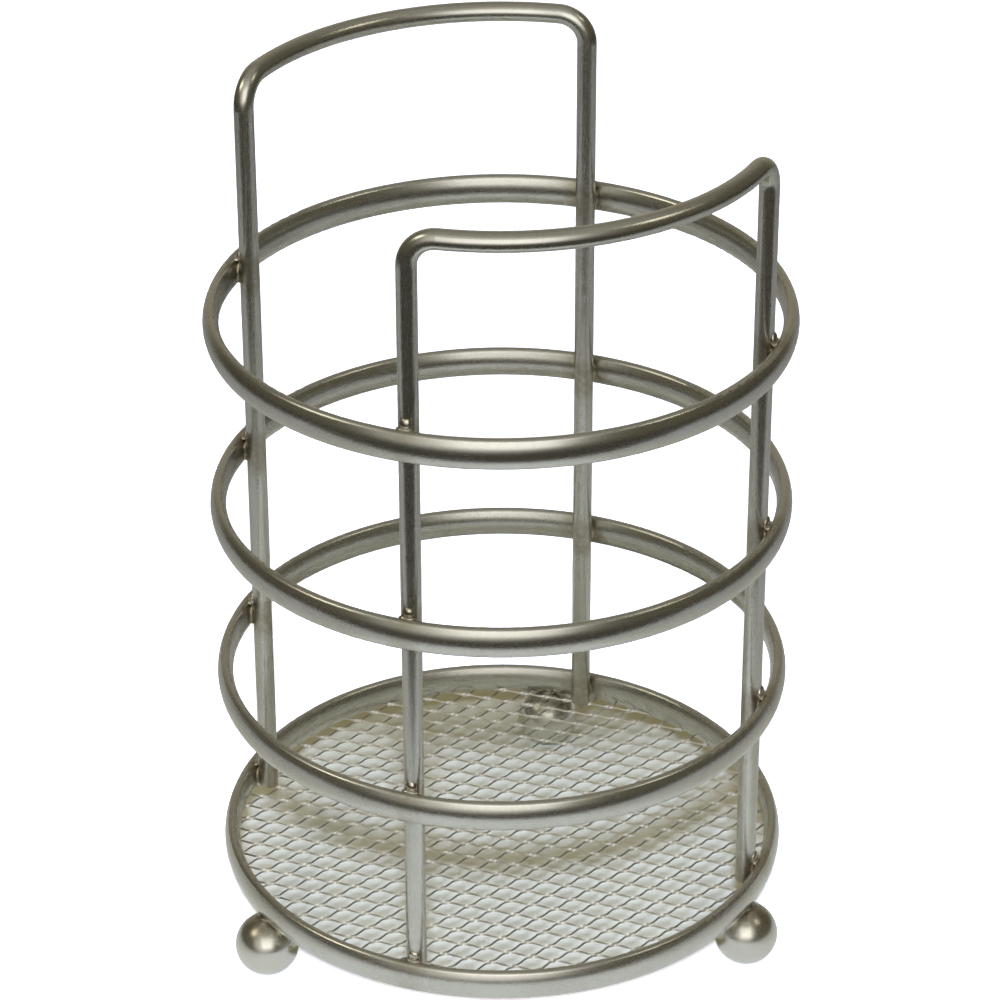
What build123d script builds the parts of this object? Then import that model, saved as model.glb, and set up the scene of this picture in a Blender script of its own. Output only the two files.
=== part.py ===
from build123d import *
import os
from math import atan2, cos, degrees, floor, hypot, pi, radians, sin, sqrt

# Open wire holder for kitchen utensils: a base ring and three hoops of flat-oval wire, two arched
# bails of round wire welded inside them, a floor of expanded-metal mesh and three ball feet.
# Millimetres, +Z up. The origin is on the ring axis, at the level that the feet stand on.
# Azimuths are degrees counterclockwise from +X, and -Y is the front.

# Flat-oval wire of the base ring and the hoops
flat_wire_thickness = 3.2
flat_wire_height = 6.4
flat_wire_edge_radius = 1.0
ring_radius = 56.7
lower_hoop_rise = 40.4
middle_hoop_rise = 79.8
top_hoop_rise = 120.4

# Round wire of the bails
round_wire_diameter = 4.0
arch_rise = 161.6
arch_corner_radius = 5.8
bail_span = 89.4
rear_bail_azimuth = 115.5
front_bail_azimuth = 296.0

# Ball feet
ball_diameter = 13.0
front_left_foot_azimuth = 211.6
front_right_foot_azimuth = 332.3
rear_foot_azimuth = 79.5

# Expanded-metal floor: pitches along and across its long diagonals, and the bond where strands meet
mesh_thickness = 0.9
mesh_long_pitch = 8.5
mesh_short_pitch = 4.9
mesh_bond_length = 2.0
mesh_bond_width = 1.2
mesh_rim_width = 1.0
mesh_turn = 13.0
smallest_opening_share = 0.12

# Resistance welds press one wire a little into the next, and the mesh slips in under the base ring
weld_set_down = 0.15
mesh_seat_clearance = 0.02

# Places that follow from the sizes above
flat_half_thickness = flat_wire_thickness / 2
flat_half_height = flat_wire_height / 2
round_wire_radius = round_wire_diameter / 2
ball_radius = ball_diameter / 2
base_ring_level = ball_diameter + flat_half_height - weld_set_down
mesh_top_level = ball_diameter + mesh_thickness
leg_radius = ring_radius - flat_half_thickness - round_wire_radius + weld_set_down
arch_radius = sqrt(leg_radius**2 - arch_corner_radius**2)
arch_level = base_ring_level + arch_rise

# The oval section: its broad sides are arcs of side_radius that meet the edge arcs at oval_join
edge_rise = flat_half_height - flat_wire_edge_radius
edge_reach = flat_half_thickness - flat_wire_edge_radius
side_radius = (edge_rise**2 + flat_half_thickness**2 - flat_wire_edge_radius**2) / (2 * edge_reach)
side_centre = side_radius - flat_half_thickness
side_half_turn = atan2(edge_rise, side_centre)
oval_join = Vector(side_radius * cos(side_half_turn) - side_centre, side_radius * sin(side_half_turn))


def around(radius, azimuth, level=0.0):
    """The point at this distance from the ring axis, this azimuth and this height."""
    return Vector(radius * cos(radians(azimuth)), radius * sin(radians(azimuth)), level)


def oval_half_thickness(height):
    """Half the flat-oval wire's thickness at this height above or below its centre."""
    if abs(height) < oval_join.Y:
        return sqrt(side_radius**2 - height**2) - side_centre
    return sqrt(flat_wire_edge_radius**2 - (abs(height) - edge_rise) ** 2)


def flat_wire_section():
    """The wire's oval cross-section as four tangent arcs: two broad sides and two tight edges."""
    x, y = oval_join.X, oval_join.Y
    outer = ThreePointArc((x, -y), (flat_half_thickness, 0), (x, y))
    upper = ThreePointArc((x, y), (0, flat_half_height), (-x, y))
    inner = ThreePointArc((-x, y), (-flat_half_thickness, 0), (-x, -y))
    lower = ThreePointArc((-x, -y), (0, -flat_half_height), (x, -y))
    return make_face([outer, upper, inner, lower])


def hoop(level):
    """A closed hoop of the flat-oval wire, standing on edge, centred at this height."""
    section = Plane.XZ * Pos(ring_radius, level) * flat_wire_section()
    return revolve(section, Axis.Z)


def bail(azimuth):
    """One round wire: a leg up from the mesh, a tight bend, an arch round the ring axis, and back."""
    bend_turn = degrees(atan2(arch_corner_radius, arch_radius))
    start = azimuth - bail_span / 2
    end = azimuth + bail_span / 2
    corner_level = arch_level - arch_corner_radius
    bend_middle = arch_corner_radius * (1 - cos(pi / 4))

    def corner(leg_azimuth, side):
        """The bend's leg end, middle and arch end. It turns in a plane tangent to the arch."""
        leg_end = around(leg_radius, leg_azimuth, corner_level)
        arch_end = around(arch_radius, leg_azimuth + side * bend_turn, arch_level)
        along = Vector(arch_end.X - leg_end.X, arch_end.Y - leg_end.Y, 0).normalized()
        middle = leg_end + along * bend_middle + Vector(0, 0, arch_corner_radius * sin(pi / 4))
        return leg_end, middle, arch_end

    up_leg, up_middle, up_arch = corner(start, 1)
    down_leg, down_middle, down_arch = corner(end, -1)
    foot = around(leg_radius, start, mesh_top_level)
    path = Wire(
        [
            Edge.make_line(foot, up_leg),
            Edge.make_three_point_arc(up_leg, up_middle, up_arch),
            Edge.make_three_point_arc(up_arch, around(arch_radius, azimuth, arch_level), down_arch),
            Edge.make_three_point_arc(down_arch, down_middle, down_leg),
            Edge.make_line(down_leg, around(leg_radius, end, mesh_top_level)),
        ]
    )
    section = Plane(origin=foot, z_dir=(0, 0, 1)) * Circle(round_wire_radius)
    return sweep(section, path=path)


def mesh_opening(along, across):
    """A six-sided opening of the mesh, centred here in the mesh's own long and short directions."""
    point = (mesh_long_pitch - mesh_bond_length) / 2
    flat = mesh_bond_length / 2
    side = (mesh_short_pitch - mesh_bond_width) / 2
    corners = [(point, 0), (flat, side), (-flat, side), (-point, 0), (-flat, -side), (flat, -side)]
    return [(along + x, across + y) for x, y in corners]


def mesh_opening_wires(open_radius):
    """The outlines of all openings, in staggered rows, cut off where they reach the solid rim."""
    field = Circle(open_radius).face()
    smallest = smallest_opening_share * mesh_long_pitch * mesh_short_pitch / 2
    columns = floor(open_radius / mesh_long_pitch * 2) + 2
    rows = floor(open_radius / mesh_short_pitch * 2) + 2
    wires = []
    for column in range(-columns, columns + 1):
        for row in range(-rows, rows + 1):
            if (column + row) % 2:
                continue
            corners = mesh_opening(column * mesh_long_pitch / 2, row * mesh_short_pitch / 2)
            farthest = max(hypot(x, y) for x, y in corners)
            nearest = min(hypot(x, y) for x, y in corners)
            outline = Wire.make_polygon([Vector(x, y) for x, y in corners], close=True)
            if farthest < open_radius:
                wires.append(outline)
            elif nearest < open_radius:
                kept = Face(outline) & field
                wires += [face.outer_wire() for face in kept.faces() if face.area > smallest]
    return wires


def mesh_floor():
    """The mesh disc, level with the tops of the feet. Its edge seats under the base ring's inner curve."""
    seat_height = base_ring_level - mesh_top_level
    disc_radius = ring_radius - oval_half_thickness(seat_height) - mesh_seat_clearance
    rim = Circle(disc_radius).face().outer_wire()
    sheet = Face(rim, mesh_opening_wires(disc_radius - mesh_rim_width))
    return Pos(0, 0, ball_diameter) * Rot(0, 0, mesh_turn) * extrude(sheet, mesh_thickness)


def ball_foot(azimuth):
    """A solid ball welded to the underside of the base ring."""
    return Pos(around(ring_radius, azimuth, ball_radius)) * Sphere(ball_radius)


nodes = {
    "base_ring": hoop(base_ring_level),
    "lower_hoop": hoop(base_ring_level + lower_hoop_rise),
    "middle_hoop": hoop(base_ring_level + middle_hoop_rise),
    "top_hoop": hoop(base_ring_level + top_hoop_rise),
    "rear_bail": bail(rear_bail_azimuth),
    "front_bail": bail(front_bail_azimuth),
    "mesh_floor": mesh_floor(),
    "front_left_foot": ball_foot(front_left_foot_azimuth),
    "front_right_foot": ball_foot(front_right_foot_azimuth),
    "rear_foot": ball_foot(rear_foot_azimuth),
}

os.makedirs("parts", exist_ok=True)
for name, solid in nodes.items():
    solid.label = name
    export_step(solid, f"parts/{name}.step")
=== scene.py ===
import math

import bmesh
import bpy
from mathutils import Matrix, Vector, noise


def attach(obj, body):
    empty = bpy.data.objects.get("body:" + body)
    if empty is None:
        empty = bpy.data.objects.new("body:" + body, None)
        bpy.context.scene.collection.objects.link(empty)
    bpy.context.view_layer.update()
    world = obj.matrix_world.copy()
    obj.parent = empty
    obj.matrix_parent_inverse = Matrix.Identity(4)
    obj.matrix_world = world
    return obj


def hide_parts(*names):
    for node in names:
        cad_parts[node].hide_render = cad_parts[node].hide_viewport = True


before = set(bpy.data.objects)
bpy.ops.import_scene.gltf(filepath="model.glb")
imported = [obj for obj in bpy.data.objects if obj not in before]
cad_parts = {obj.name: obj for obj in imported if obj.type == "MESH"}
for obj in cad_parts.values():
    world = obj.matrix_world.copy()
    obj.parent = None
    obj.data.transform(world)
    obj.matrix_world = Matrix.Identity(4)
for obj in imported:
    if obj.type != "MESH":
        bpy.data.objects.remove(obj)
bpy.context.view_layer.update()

# Dresses the open wire utensil holder: satin nickel wire, balls and expanded-metal floor.
# Metres, +Z up, in the frame of the CAD: the origin is on the ring axis where the feet stand.
# Azimuths are degrees counterclockwise from +X, and -Y is the front. Colours are linear.

MM = 0.001

# Sizes of the CAD that the scene's own pieces are fitted to
RING_RADIUS = 56.7 * MM
FLAT_HALF_THICKNESS = 1.6 * MM
FLAT_HALF_HEIGHT = 3.2 * MM
BASE_RING_LEVEL = 16.05 * MM
HOOP_LEVELS = [BASE_RING_LEVEL + rise * MM for rise in (0.0, 40.4, 79.8, 120.4)]
ROUND_RADIUS = 2.0 * MM
LEG_RADIUS = 53.25 * MM
ARCH_LEVEL = BASE_RING_LEVEL + 161.6 * MM
HALF_SPAN = 44.7
REAR_LEGS = [115.5 - HALF_SPAN, 115.5 + HALF_SPAN]
FRONT_LEGS = [296.0 - HALF_SPAN, 296.0 + HALF_SPAN]
FOOT_AZIMUTHS = [211.6, 332.3, 79.5]
BALL_RADIUS = 6.5 * MM

# Expanded-metal floor, with the widths and tilts of its strands
MESH_LOW, MESH_HIGH = 13.0 * MM, 13.9 * MM
LONG_PITCH = 8.5 * MM
SHORT_PITCH = 4.9 * MM
BOND_LENGTH = 2.0 * MM
STRAND_WIDTH = 0.4 * MM
STRAND_THICKNESS = 0.2 * MM
STRAND_TILT = math.radians(40.0)
BOND_TILT = math.radians(60.0)
MESH_TURN = math.radians(13.0)
MESH_CUT_RADIUS = 55.7 * MM


def around(radius, azimuth, level=0.0):
    """The point at this distance from the ring axis, this azimuth and this height."""
    turn = math.radians(azimuth)
    return Vector((radius * math.cos(turn), radius * math.sin(turn), level))


# Node trees


def add_node(tree, kind, inputs=None, **settings):
    """A shader node with its settings, whose inputs are linked from sockets or set to values."""
    made = tree.nodes.new(kind)
    for key, value in settings.items():
        setattr(made, key, value)
    for key, value in (inputs or {}).items():
        if isinstance(value, bpy.types.NodeSocket):
            tree.links.new(value, made.inputs[key])
        else:
            made.inputs[key].default_value = value
    return made


def maths(tree, operation, first, second=0.0):
    """The output of one Math node."""
    return add_node(tree, "ShaderNodeMath", {0: first, 1: second}, operation=operation).outputs[0]


def flat_length(tree, x, y):
    """The length of the level vector with these parts."""
    squares = maths(tree, "ADD", maths(tree, "MULTIPLY", x, x), maths(tree, "MULTIPLY", y, y))
    return maths(tree, "SQRT", squares)


def weighted(tree, first, share, second):
    """The first value at this share, and the second for the rest."""
    part = maths(tree, "MULTIPLY", first, share)
    return maths(tree, "ADD", part, maths(tree, "MULTIPLY", second, 1.0 - share))


def ramp(tree, value, low, high, out_low=0.0, out_high=1.0, smooth=True):
    """The value, mapped from one range to another and held at its ends."""
    made = add_node(
        tree,
        "ShaderNodeMapRange",
        {"Value": value, "From Min": low, "From Max": high, "To Min": out_low, "To Max": out_high},
        interpolation_type="SMOOTHSTEP" if smooth else "LINEAR",
    )
    return made.outputs["Result"]


def blend_colours(tree, share, first, second):
    """The first colour at share 0 and the second at share 1. Each is a socket or a plain colour."""
    made = add_node(tree, "ShaderNodeMix", {0: share}, data_type="RGBA")
    for key, value in ((6, first), (7, second)):
        if isinstance(value, bpy.types.NodeSocket):
            tree.links.new(value, made.inputs[key])
        else:
            made.inputs[key].default_value = (*value, 1.0)
    return made.outputs[2]


def separated(tree, vector):
    """The x, y and z of a vector."""
    return add_node(tree, "ShaderNodeSeparateXYZ", {0: vector}).outputs


def noise_at(tree, vector, scale, detail=2.0, roughness=0.5, across=None):
    """Fractal noise from 0 to 1, in four dimensions where a fourth coordinate is given."""
    inputs = {"Vector": vector, "Scale": scale, "Detail": detail, "Roughness": roughness}
    if across is not None:
        inputs["W"] = across
    dimensions = "3D" if across is None else "4D"
    return add_node(tree, "ShaderNodeTexNoise", inputs, noise_dimensions=dimensions).outputs[0]


def empty_material(name):
    """A material and its node tree, with no nodes yet."""
    material = bpy.data.materials.new(name)
    material.use_nodes = True
    material.node_tree.nodes.clear()
    return material, material.node_tree


# Satin nickel

# Repeats of the noise in each metre: across and along the drawn grain, then the finish's three scales
GRAIN_ACROSS = 7000.0
GRAIN_ALONG = 220.0
CLOUD_SCALE = 95.0
SATIN_SCALE = 900.0
SPECKLE_SCALE = 4200.0

# The heights between which a bail's upright grain turns into its arch's
BEND_LOW = ARCH_LEVEL - 5.0 * MM
BEND_HIGH = ARCH_LEVEL - 1.5 * MM

# How far from a weld its tint is full, and where it ends: on the wires the tint that welding left, on the
# balls painted shade, the ring's shade and reflection darkening their tops
HEAT_AND_BALL_SHADE_REACH = {
    "around": (3.2 * MM, 6.5 * MM),
    "arched": (2.4 * MM, 6.0 * MM),
    "ball": (1.0 * MM, 3.6 * MM),
}
HEAT_TINT_AND_BALL_SHADE = (0.38, 0.345, 0.28)
HEAT_ROUGHNESS = 0.05
BUMP_STRENGTH = 0.07


def drawn_grain(tree, place, run):
    """Fine lines along the wire: around the ring axis, or upright on a bail up to its arch."""
    x, y, z = separated(tree, place)

    def stretched(scale_flat, scale_up):
        scales = (scale_flat, scale_flat, scale_up)
        inputs = {0: place, 1: scales}
        return add_node(tree, "ShaderNodeVectorMath", inputs, operation="MULTIPLY").outputs[0]

    radial = maths(tree, "MULTIPLY", flat_length(tree, x, y), GRAIN_ACROSS)
    lengthwise = noise_at(tree, stretched(GRAIN_ALONG, GRAIN_ACROSS), 1.0, 3.0, 0.6, radial)
    if run == "around":
        return lengthwise
    upright = noise_at(tree, stretched(GRAIN_ACROSS, GRAIN_ALONG), 1.0, 3.0, 0.6)
    share = ramp(tree, z, BEND_LOW, BEND_HIGH)
    mixed = add_node(tree, "ShaderNodeMix", {0: share, 2: upright, 3: lengthwise}, data_type="FLOAT")
    return mixed.outputs[0]


def weld_nearness(tree, place, run):
    """One beside the welds and zero a few millimetres away from them."""
    x, y, z = separated(tree, place)
    # On a ball this is nearness to its top under the ring, where the painted shade goes
    if run == "ball":
        gaps = [maths(tree, "ABSOLUTE", maths(tree, "SUBTRACT", z, 2 * BALL_RADIUS))]
    elif run == "around":
        gaps = []
        for azimuth in REAR_LEGS + FRONT_LEGS:
            leg = around(LEG_RADIUS, azimuth)
            from_leg = (maths(tree, "SUBTRACT", x, leg.x), maths(tree, "SUBTRACT", y, leg.y))
            gaps.append(flat_length(tree, *from_leg))
    else:
        gaps = [maths(tree, "ABSOLUTE", maths(tree, "SUBTRACT", z, level)) for level in HOOP_LEVELS]
    nearest = gaps[0]
    for gap in gaps[1:]:
        nearest = maths(tree, "MINIMUM", nearest, gap)
    return ramp(tree, nearest, *HEAT_AND_BALL_SHADE_REACH[run], 1.0, 0.0)


def satin_nickel(name, run, pale, dark, smoothest, roughest, grain_depth=3.5e-6):
    """Satin nickel plate, mottled between two colours and two roughnesses.

    run says where the piece is welded and how its drawn grain lies: around or arched for the wires, which
    are tinted beside their welds, ball for the feet, which have no grain and whose tops get painted shade
    under the ring, and None for pieces with neither grain nor tint.
    """
    material, tree = empty_material(name)
    place = add_node(tree, "ShaderNodeTexCoord").outputs["Object"]
    cloud = noise_at(tree, place, CLOUD_SCALE, 3.0, 0.55)
    speckle = noise_at(tree, place, SPECKLE_SCALE, 2.0, 0.6)
    satin = noise_at(tree, place, SATIN_SCALE, 3.0, 0.65)
    grain = drawn_grain(tree, place, run) if run in ("around", "arched") else satin
    colour = blend_colours(tree, ramp(tree, weighted(tree, cloud, 0.6, satin), 0.35, 0.65), pale, dark)
    uneven = weighted(tree, grain, 0.5, cloud)
    rough = ramp(tree, uneven, 0.3, 0.7, smoothest, roughest, smooth=False)
    # Beside the welds the colour turns browner: on the wires the tint that welding left, on the balls
    # painted shade and reflection of the ring above their tops
    if run:
        patchy = ramp(tree, satin, 0.3, 0.6, 0.35, 0.9)
        tint_and_shade = maths(tree, "MULTIPLY", weld_nearness(tree, place, run), patchy)
        colour = blend_colours(tree, tint_and_shade, colour, HEAT_TINT_AND_BALL_SHADE)
        rough = maths(tree, "ADD", rough, maths(tree, "MULTIPLY", tint_and_shade, HEAT_ROUGHNESS))
    relief = {"Height": weighted(tree, grain, 0.6, speckle)}
    relief.update({"Strength": BUMP_STRENGTH, "Distance": grain_depth})
    bump = add_node(tree, "ShaderNodeBump", relief)
    shader = add_node(
        tree,
        "ShaderNodeBsdfPrincipled",
        {"Base Color": colour, "Roughness": rough, "Metallic": 1.0, "Normal": bump.outputs[0]},
    )
    add_node(tree, "ShaderNodeOutputMaterial", {"Surface": shader.outputs[0]})
    return material


WIRE_PALE, WIRE_DARK = (0.58, 0.575, 0.545), (0.53, 0.52, 0.48)
BALL_PALE, BALL_DARK = (0.64, 0.63, 0.59), (0.6, 0.585, 0.54)
MESH_PALE, MESH_DARK = (0.68, 0.675, 0.65), (0.61, 0.6, 0.57)
WELD_PALE, WELD_DARK = (0.42, 0.38, 0.3), (0.28, 0.25, 0.19)
BEAD_PALE, BEAD_DARK = (0.64, 0.61, 0.56), (0.46, 0.42, 0.35)

flat_wire_finish = satin_nickel("satin_nickel_flat_wire", "around", WIRE_PALE, WIRE_DARK, 0.25, 0.29)
round_wire_finish = satin_nickel("satin_nickel_round_wire", "arched", WIRE_PALE, WIRE_DARK, 0.25, 0.29)
ball_finish = satin_nickel("satin_nickel_ball", "ball", BALL_PALE, BALL_DARK, 0.23, 0.28, 4e-6)
mesh_finish = satin_nickel("nickel_mesh", None, MESH_PALE, MESH_DARK, 0.3, 0.42, 5e-6)
weld_finish = satin_nickel("nickel_weld", None, WELD_PALE, WELD_DARK, 0.26, 0.4, 1.2e-5)
bead_finish = satin_nickel("nickel_weld_bead", None, BEAD_PALE, BEAD_DARK, 0.14, 0.24, 6e-6)

FINISHES = {
    "base_ring": flat_wire_finish,
    "lower_hoop": flat_wire_finish,
    "middle_hoop": flat_wire_finish,
    "top_hoop": flat_wire_finish,
    "rear_bail": round_wire_finish,
    "front_bail": round_wire_finish,
    "front_left_foot": ball_finish,
    "front_right_foot": ball_finish,
    "rear_foot": ball_finish,
}
for node_name, finish in FINISHES.items():
    node_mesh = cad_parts[node_name].data
    node_mesh.materials.clear()
    node_mesh.materials.append(finish)
    node_mesh.shade_smooth()


def finished_piece(name, mesh, finish, replaced=None):
    """An object of its own that rides on the one body and takes its finish from a slot."""
    mesh.materials.append(finish)
    piece = bpy.data.objects.new(name, mesh)
    bpy.context.scene.collection.objects.link(piece)
    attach(piece, "root")
    if replaced:
        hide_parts(replaced)
    return piece


# Expanded-metal floor: zigzag strands that meet in tilted bonds, cut to a disc

# Places along half a pitch, closer together at the bends beside the bonds
HALF_PITCH_STOPS = (0.0, 0.12, 0.19, 0.25, 0.31, 0.38, 0.5, 0.62, 0.69, 0.75, 0.81, 0.88)
# The share of a strand's sideways swing, measured in from each bond, that is rounded off
BEND_SOFTNESS = 0.5
# How near a bond a strand begins to twist, from 0 midway between bonds to 1 at the bond's middle
TWIST_START = 0.55
# Points closer than these become one, where strands meet and where the disc is cut
BOND_MERGE = 0.02 * MM
CUT_MERGE = 0.05 * MM
SHORTEST_EDGE = 0.01 * MM


def zigzag(phase):
    """A strand's sideways place, from -1 to 1, where phase runs 1 for each half pitch."""
    triangle = 1.0 - 2.0 * abs(phase % 2.0 - 1.0)
    wave = triangle / (1.0 - 2.0 * BOND_LENGTH / LONG_PITCH)
    straight = 1.0 - BEND_SOFTNESS
    if abs(wave) < straight:
        return wave
    over = min(abs(wave) - straight, 2.0 * BEND_SOFTNESS)
    return math.copysign(straight + over - over * over / (4.0 * BEND_SOFTNESS), wave)


def strand_tilt(phase):
    """How steeply a strand stands at this phase: it twists up towards the middle of each bond."""
    to_bond = abs(1.0 - 2.0 * (phase % 1.0))
    twisted = max(0.0, (to_bond - TWIST_START) / (1.0 - TWIST_START))
    return STRAND_TILT + (BOND_TILT - STRAND_TILT) * twisted * twisted * (3.0 - 2.0 * twisted)


def expanded_metal():
    """The mesh of one surface of strands, as quads two rows of points wide, joined at the bonds."""
    middle = (MESH_LOW + MESH_HIGH) / 2
    rows = int(MESH_CUT_RADIUS / SHORT_PITCH * 2) + 2
    columns = int(MESH_CUT_RADIUS / LONG_PITCH * 2) + 2
    turn = Matrix.Rotation(MESH_TURN, 3, "Z")
    net = bmesh.new()
    for row in range(-rows, rows):
        previous = None
        for column in range(-columns, columns):
            for stop in HALF_PITCH_STOPS:
                along = (column + stop) * LONG_PITCH / 2
                side = zigzag(column + stop + row + 1)
                tilt = strand_tilt(stop)
                rise = STRAND_WIDTH / 2 * math.sin(tilt)
                reach = STRAND_WIDTH / 2 * math.cos(tilt)
                centre = (row + 0.5) * SHORT_PITCH / 2 + side * (SHORT_PITCH / 4 - reach)
                level = middle - side * rise
                lower = net.verts.new(turn @ Vector((along, centre - reach, level - rise)))
                upper = net.verts.new(turn @ Vector((along, centre + reach, level + rise)))
                if previous:
                    net.faces.new((previous[0], lower, upper, previous[1]))
                previous = (lower, upper)
    bmesh.ops.remove_doubles(net, verts=net.verts, dist=BOND_MERGE)
    return net


def trim_to_disc(net, radius):
    """Cuts the net to a disc: faces outside go, and points just outside are drawn in to the edge."""
    outside = {v for v in net.verts if v.co.xy.length > radius}
    cut_off = [f for f in net.faces if all(v in outside for v in f.verts)]
    bmesh.ops.delete(net, geom=cut_off, context="FACES")
    for v in net.verts:
        distance = v.co.xy.length
        if distance > radius:
            v.co.x *= radius / distance
            v.co.y *= radius / distance
    bmesh.ops.remove_doubles(net, verts=net.verts, dist=CUT_MERGE)
    bmesh.ops.dissolve_degenerate(net, edges=net.edges, dist=SHORTEST_EDGE)
    keep_largest_island(net)


def keep_largest_island(net):
    """Offcuts that hang on nothing fall away."""
    left = set(net.verts)
    largest = set()
    while left:
        front = [left.pop()]
        island = set(front)
        while front:
            for edge in front.pop().link_edges:
                for v in edge.verts:
                    if v in left:
                        left.discard(v)
                        island.add(v)
                        front.append(v)
        if len(island) > len(largest):
            largest = island
    bmesh.ops.delete(net, geom=[v for v in net.verts if v not in largest], context="VERTS")


def made_mesh(net, name, smooth=False):
    """The net as a mesh of this name. The net itself is freed."""
    if smooth:
        for face in net.faces:
            face.smooth = True
    mesh = bpy.data.meshes.new(name)
    net.to_mesh(mesh)
    net.free()
    return mesh


def mesh_floor():
    """The floor of expanded metal, in place of the CAD's flat one."""
    net = expanded_metal()
    trim_to_disc(net, MESH_CUT_RADIUS)
    floor_mesh = made_mesh(net, "expanded_metal_floor")
    piece = finished_piece("expanded_metal_floor", floor_mesh, mesh_finish, "mesh_floor")
    thickness = piece.modifiers.new("strand_thickness", "SOLIDIFY")
    thickness.thickness = STRAND_THICKNESS
    thickness.offset = 0.0
    worn_edges = piece.modifiers.new("worn_edges", "BEVEL")
    worn_edges.width = 0.04 * MM
    worn_edges.segments = 1
    worn_edges.limit_method = "ANGLE"
    worn_edges.angle_limit = math.radians(50.0)


mesh_floor()

# Welds. Sizes are half widths: sideways, outward from the piece that carries them, and upward.

LUMPINESS = 0.14
LUMP_SCALE = 2.2
NUGGET = (2.3 * MM, 0.8 * MM, 2.5 * MM)
LEG_BEAD = (1.3 * MM, 0.7 * MM, 1.6 * MM)
HOOP_BEAD = (1.7 * MM, 0.9 * MM, 0.55 * MM)
FOOT_NUGGET = (1.5 * MM, 0.45 * MM, 1.5 * MM)
UP = Vector((0, 0, 1))


def nugget(net, centre, outward, sizes, seed):
    """Adds a lumpy lens of weld metal to the net."""
    sideways = outward.cross(UP).normalized()
    if sideways.length < 0.5:  # outward is straight up
        sideways = Vector((1, 0, 0))
    upward = sideways.cross(outward).normalized()
    offset = Vector((seed * 7.3, seed * 3.1, seed * 1.7))
    ball = bmesh.ops.create_icosphere(net, subdivisions=3, radius=1.0)
    for v in ball["verts"]:
        unit = v.co.copy()
        lump = 1.0 + LUMPINESS * noise.noise(unit * LUMP_SCALE + offset)
        swelling = sideways * unit.x * sizes[0] + outward * unit.y * sizes[1] + upward * unit.z * sizes[2]
        v.co = centre + swelling * lump


def bail_welds(name, azimuths, seed):
    """One bail's welds at the ring and the hoops: dark nuggets, and bright beads squeezed out above."""
    nuggets = bmesh.new()
    beads = bmesh.new()
    for azimuth in azimuths:
        outward = around(1.0, azimuth)
        for level in HOOP_LEVELS:
            seed += 1
            top = level + FLAT_HALF_HEIGHT
            contact = around(RING_RADIUS - FLAT_HALF_THICKNESS + 0.05 * MM, azimuth, level)
            nugget(nuggets, contact, outward, NUGGET, seed)
            on_leg = around(LEG_RADIUS + ROUND_RADIUS - 0.15 * MM, azimuth, top + 0.2 * MM)
            nugget(beads, on_leg, outward, LEG_BEAD, seed + 60)
            on_hoop = around(RING_RADIUS - 1.1 * MM, azimuth, top - 0.3 * MM)
            nugget(beads, on_hoop, outward, HOOP_BEAD, seed + 90)
    for net, ending, finish in ((nuggets, "_welds", weld_finish), (beads, "_weld_beads", bead_finish)):
        finished_piece(name + ending, made_mesh(net, name + ending, smooth=True), finish)


def foot_welds():
    """Flat nuggets where the balls meet the base ring."""
    net = bmesh.new()
    for seed, azimuth in enumerate(FOOT_AZIMUTHS):
        centre = around(RING_RADIUS, azimuth, 2 * BALL_RADIUS - 0.05 * MM)
        nugget(net, centre, UP, FOOT_NUGGET, 40 + seed)
    welds = made_mesh(net, "foot_welds", smooth=True)
    finished_piece("foot_welds", welds, weld_finish)


bail_welds("rear_bail", REAR_LEGS, 0)
bail_welds("front_bail", FRONT_LEGS, 20)
foot_welds()

# Stage: a paper-covered table whose front edge is near the object, and a room round it. The metal
# mirrors both. The camera sees the paper in tones of its own and never sees the room.

TABLE_FRONT = -0.16
TABLE_BACK = 0.5
TABLE_SIDE = 0.45
ROOM_RADIUS = 3.0

# The paper as the metal sees it: near the object with its fibre, then darker to both sides and far away,
# which is painted shade where the light falls off
PAPER_NEAR = ((0.515, 0.475, 0.295), (0.545, 0.505, 0.325))
PAPER_SHADED_ASIDE = (0.33, 0.288, 0.13)
PAPER_SHADED_FAR = (0.24, 0.21, 0.11)
ASIDE_FROM, ASIDE_TO = 0.05, 0.1
FAR_FROM, FAR_TO = 0.1, 0.22
FIBRE_SCALE = 600.0

# The paper as the camera sees it: painted shade inside a circle under the mesh, set a little behind the
# axis where the mesh and hoops shade it, and darker still at its back, else white
SHADE_CENTRE = (0.0, 0.0195, 0.0)
SHADE_EDGE, WHITE_EDGE = 0.0585, 0.0605
SHADE_FRONT, SHADE_BACK = (0.67, 0.635, 0.455), (0.54, 0.5, 0.33)
BACK_FROM, BACK_TO = 0.04, 0.065
WHITE_PAPER = (1.25, 1.25, 1.28)
WHITE_LIFT = 0.6
LIFT_COLOUR = (0.95, 0.97, 1.15, 1.0)
MIRRORED_SHARE = 0.1

# The room: walls before the object, below and above the horizon, the wall behind, and the ceiling
WALL_LOW, WALL_HIGH = (0.055, 0.05, 0.037), (0.12, 0.11, 0.073)
WALL_BEHIND = (0.4, 0.365, 0.28)
CEILING = (0.37, 0.36, 0.3)
KEY_HALO = (0.72, 0.7, 0.61)
KEY_DIRECTION = (-0.13, -0.8, 0.58)


def stage_object(name, mesh, material):
    """An object of the stage, which is no part of the holder."""
    mesh.materials.append(material)
    made = bpy.data.objects.new(name, mesh)
    bpy.context.scene.collection.objects.link(made)
    return made


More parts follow.
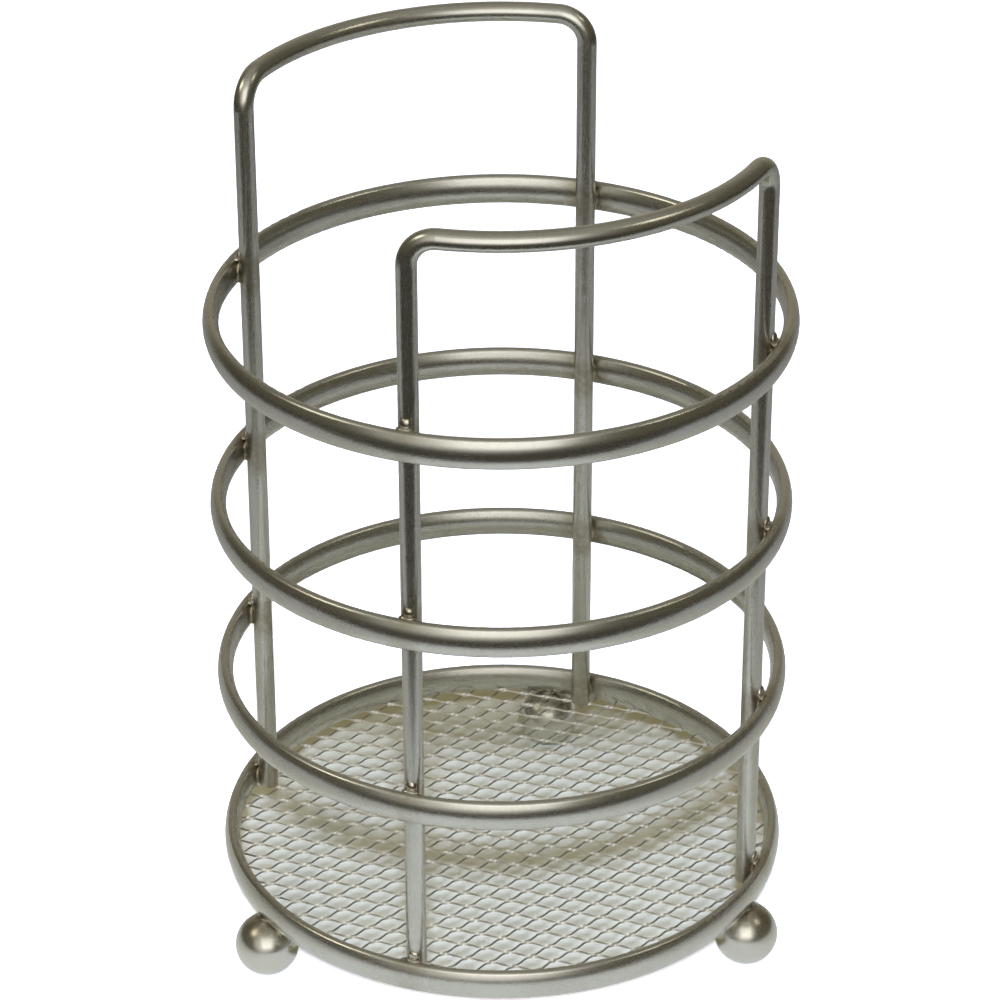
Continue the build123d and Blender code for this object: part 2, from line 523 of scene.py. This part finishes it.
def table_material():
    """Paper that lights and mirrors as one tone, and shows the camera the photo's background."""
    material, tree = empty_material("pale_table")
    place = add_node(tree, "ShaderNodeTexCoord").outputs["Object"]
    x, y, _ = separated(tree, place)
    from_centre = add_node(tree, "ShaderNodeVectorMath", {0: place, 1: SHADE_CENTRE}, operation="DISTANCE")
    distance = from_centre.outputs["Value"]

    paper = blend_colours(tree, noise_at(tree, place, FIBRE_SCALE, 3.0, 0.6), *PAPER_NEAR)
    # Painted shade: the paper darkens to both sides and far away
    aside = ramp(tree, maths(tree, "ABSOLUTE", x), ASIDE_FROM, ASIDE_TO)
    paper = blend_colours(tree, aside, paper, PAPER_SHADED_ASIDE)
    paper = blend_colours(tree, ramp(tree, distance, FAR_FROM, FAR_TO), paper, PAPER_SHADED_FAR)

    # Painted shade under the mesh, darker towards its back
    painted_shade = blend_colours(tree, ramp(tree, y, BACK_FROM, BACK_TO), SHADE_FRONT, SHADE_BACK)
    outside = ramp(tree, distance, SHADE_EDGE, WHITE_EDGE)
    background = blend_colours(tree, outside, painted_shade, WHITE_PAPER)

    rays = add_node(tree, "ShaderNodeLightPath").outputs
    mirrored = maths(tree, "MULTIPLY", rays["Is Glossy Ray"], MIRRORED_SHARE)
    seen = maths(tree, "MAXIMUM", mirrored, rays["Is Transmission Ray"])
    seen = maths(tree, "MAXIMUM", rays["Is Camera Ray"], seen)
    shader = add_node(
        tree, "ShaderNodeBsdfDiffuse", {"Color": blend_colours(tree, seen, paper, background)}
    )
    lift = maths(tree, "MULTIPLY", maths(tree, "MULTIPLY", seen, outside), WHITE_LIFT)
    glow = add_node(tree, "ShaderNodeEmission", {"Color": LIFT_COLOUR, "Strength": lift})
    both = add_node(tree, "ShaderNodeAddShader", {0: shader.outputs[0], 1: glow.outputs[0]})
    add_node(tree, "ShaderNodeOutputMaterial", {"Surface": both.outputs[0]})
    return material


def table_mesh():
    """The table top, as one level face."""
    corners = [
        (-TABLE_SIDE, TABLE_FRONT, 0),
        (TABLE_SIDE, TABLE_FRONT, 0),
        (TABLE_SIDE, TABLE_BACK, 0),
        (-TABLE_SIDE, TABLE_BACK, 0),
    ]
    mesh = bpy.data.meshes.new("table")
    mesh.from_pydata(corners, [], [(0, 1, 2, 3)])
    return mesh


def room_material():
    """A dim warm glow: darkest low before the object, paler behind it, overhead and round the key."""
    material, tree = empty_material("studio_room")
    place = add_node(tree, "ShaderNodeNewGeometry").outputs["Position"]
    direction = add_node(tree, "ShaderNodeVectorMath", {0: place}, operation="NORMALIZE").outputs[0]
    _, y, z = separated(tree, direction)
    colour = blend_colours(tree, ramp(tree, z, -0.15, 0.2), WALL_LOW, WALL_HIGH)
    colour = blend_colours(tree, ramp(tree, y, 0.45, 1.0), colour, WALL_BEHIND)
    colour = blend_colours(tree, ramp(tree, z, 0.6, 1.0), colour, CEILING)
    towards_key = add_node(
        tree, "ShaderNodeVectorMath", {0: direction, 1: KEY_DIRECTION}, operation="DOT_PRODUCT"
    ).outputs["Value"]
    colour = blend_colours(tree, ramp(tree, towards_key, 0.7, 0.9), colour, KEY_HALO)
    glow = add_node(tree, "ShaderNodeEmission", {"Color": colour, "Strength": 1.0})
    add_node(tree, "ShaderNodeOutputMaterial", {"Surface": glow.outputs[0]})
    return material


def room_mesh():
    """A sphere round the whole stage."""
    net = bmesh.new()
    bmesh.ops.create_icosphere(net, subdivisions=4, radius=ROOM_RADIUS)
    return made_mesh(net, "studio_room")


stage_object("table", table_mesh(), table_material())
room = stage_object("studio_room", room_mesh(), room_material())
room.visible_camera = False

world = bpy.data.worlds.new("white_surround")
bpy.context.scene.world = world
world.use_nodes = True
world.node_tree.nodes["Background"].inputs["Color"].default_value = (1, 1, 1, 1)
world.node_tree.nodes["Background"].inputs["Strength"].default_value = 1.0

# Lamps

AIM = Vector((0, 0, 0.08))
NEAR_WHITE = (1.0, 0.995, 0.97)
WARM = (1.0, 0.94, 0.74)
COOL = (0.985, 1.19, 1.9)


def softbox(name, direction, distance, size, radiance, colour):
    """A square lamp of this edge, aimed at the object, whose face has this radiance."""
    lamp = bpy.data.lights.new(name, "AREA")
    lamp.shape = "SQUARE"
    lamp.size = size
    lamp.energy = radiance * math.pi * size * size
    lamp.color = colour
    made = bpy.data.objects.new(name, lamp)
    bpy.context.scene.collection.objects.link(made)
    made.location = AIM + Vector(direction).normalized() * distance
    made.rotation_euler = (made.location - AIM).to_track_quat("Z", "Y").to_euler()
    return made


softbox("key_softbox", (0.0, -0.87, 0.49), 1.1, 0.8, 1.07, NEAR_WHITE)
softbox("left_softbox", (-0.71, -0.12, 0.7), 1.0, 0.3, 3.0, WARM)
softbox("right_softbox", (0.64, -0.17, 0.75), 1.0, 0.18, 3.3, WARM)
# This small, strong lamp casts the hoops' sharp shadows, and the metal doesn't mirror it
shadow_lamp = softbox("shadow_lamp", (0.0, -0.793, 0.609), 1.05, 0.08, 610.0, COOL)
shadow_lamp.visible_glossy = False

# Camera, fitted to the hoops' silhouettes in the photograph

CAMERA_EYE = Vector((-0.38, -677.4, 483.03)) * MM
CAMERA_TARGET = Vector((-0.38, 0.0, 94.21)) * MM
CAMERA_ROLL = math.radians(-0.1295)

camera_data = bpy.data.cameras.new("camera")
camera_data.sensor_width = 36.0
camera_data.lens = 140.0
camera_data.clip_start = 0.01
camera_data.clip_end = 20.0
camera = bpy.data.objects.new("camera", camera_data)
bpy.context.scene.collection.objects.link(camera)
aim = (CAMERA_TARGET - CAMERA_EYE).to_track_quat("-Z", "Y").to_matrix().to_4x4()
roll = Matrix.Rotation(CAMERA_ROLL, 4, "Z")
camera.matrix_world = Matrix.Translation(CAMERA_EYE) @ aim @ roll
bpy.context.scene.camera = camera

bpy.context.scene.view_settings.view_transform = "Standard"
